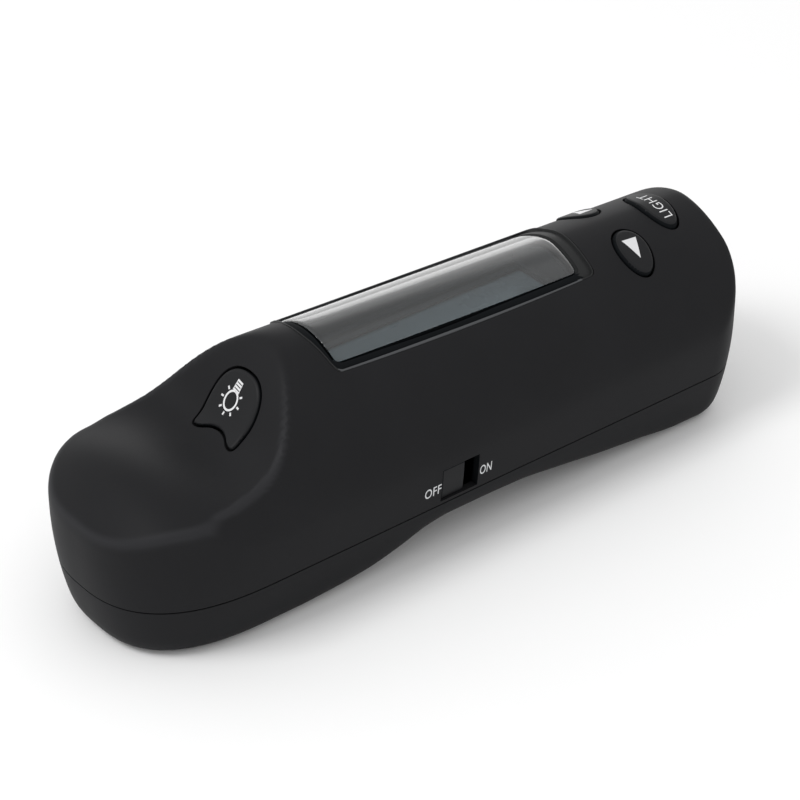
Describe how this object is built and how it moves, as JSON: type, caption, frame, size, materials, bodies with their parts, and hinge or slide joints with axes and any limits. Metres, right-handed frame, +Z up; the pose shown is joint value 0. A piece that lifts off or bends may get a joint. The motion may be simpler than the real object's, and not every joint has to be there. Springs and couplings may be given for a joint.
{
  "type": "portable colorimeter",
  "caption": "Hand-held colour measuring instrument: curved housing with a nose that stands on the sample, a display window, push keys, a slide switch and a battery door.",
  "frame": {"origin": "centre of the footprint on the resting plane, z = 0 under the nose and heel", "axes": "X along the body from nose (-X) to heel (+X), Y across the body with the slide switch on the -Y side, Z up out of the display"},
  "size_m": [0.2101, 0.0626, 0.0665],
  "materials": {
    "black_shell": "fine even grain, satin",
    "key_plastic": "smooth satin",
    "trim_plastic": "smooth satin",
    "window_lens": "clear, grey tinted, glossy",
    "rubber_pad": "matte",
    "steel": "zinc plated",
    "tinned_steel": "tin plated, satin",
    "white_plastic": "satin",
    "inner_black": "moulded",
    "board_green": "solder mask, satin",
    "brass_post": "turned",
    "cell_wrap": "printed foil sleeve, unmarked",
    "display_face": "grey reflective display cell",
    "capacitor_can": "satin",
    "flex_film": "film",
    "port_metal": "black anodised, satin",
    "sphere_white": "diffuse white coating",
    "clear_glass": "clear",
    "lamp_resin": "clear cast resin"
  },
  "bodies": {
    "housing": {"upper_shell": "black_shell", "lower_shell": "black_shell", "heel_pads": "rubber_pad", "housing_screws": "steel", "window_trim": "trim_plastic", "display_window": "window_lens", "measure_key_board": "board_green", "left_key_board": "board_green", "right_key_board": "board_green", "light_key_board": "board_green", "rear_tact_switches": "inner_black", "measure_tact_switch": "inner_black", "power_switch": "tinned_steel", "switch_board": "board_green", "battery_tray": "inner_black", "battery_cells": "cell_wrap", "battery_contacts": "tinned_steel", "battery_springs": "tinned_steel", "key_board_screws": "steel", "main_board": "board_green", "board_standoffs": "brass_post", "display_standoffs": "brass_post", "display_board": "board_green", "backlight": "white_plastic", "display_glass": "display_face", "display_frame": "tinned_steel", "display_shroud": "inner_black", "controller_chip": "inner_black", "memory_chips": "inner_black", "capacitors": "capacitor_can", "buzzer": "inner_black", "cell_holder": "inner_black", "coin_cell": "tinned_steel", "pin_headers": "inner_black", "display_cable": "flex_film", "sensor_cable": "flex_film", "port_plate": "port_metal", "port_screws": "steel", "sphere_lower": "sphere_white", "sphere_upper": "sphere_white", "port_glass": "clear_glass", "head_screws": "steel", "lamp_board": "board_green", "lamps": "lamp_resin", "view_tube": "inner_black", "collector_lens": "clear_glass", "colour_sensor": "inner_black", "sensor_board": "board_green", "sensor_posts": "brass_post"},
    "measure_key": {"measure_key": "key_plastic", "measure_plunger": "white_plastic"},
    "left_key": {"left_key": "key_plastic", "left_plunger": "white_plastic"},
    "right_key": {"right_key": "key_plastic", "right_plunger": "white_plastic"},
    "light_key": {"light_key": "key_plastic", "light_plunger": "white_plastic"},
    "power_slider": {"power_slider": "key_plastic", "switch_knob": "inner_black"},
    "battery_door": {"battery_door": "black_shell"}
  },
  "joints": [
    {"name": "measure_key_press", "type": "slide", "parent": "housing", "child": "measure_key", "axis": [0.7627, 0, -0.6467], "range_m": [0, 0.0012], "stiffness_N_per_m": 1800},
    {"name": "left_key_press", "type": "slide", "parent": "housing", "child": "left_key", "axis": [-0.0379, 0.5409, -0.8402], "range_m": [0, 0.001], "stiffness_N_per_m": 1800},
    {"name": "right_key_press", "type": "slide", "parent": "housing", "child": "right_key", "axis": [-0.0405, -0.498, -0.8662], "range_m": [0, 0.001], "stiffness_N_per_m": 1800},
    {"name": "light_key_press", "type": "slide", "parent": "housing", "child": "light_key", "axis": [-0.0529, 0.0876, -0.9947], "range_m": [0, 0.001], "stiffness_N_per_m": 1800},
    {"name": "power_slide", "type": "slide", "parent": "housing", "child": "power_slider", "axis": [1, 0, 0], "range_m": [0, 0.0042]},
    {"name": "battery_door_lift", "type": "slide", "parent": "housing", "child": "battery_door", "axis": [0, 0, -1], "range_m": [0, 0.04]}
  ]
}
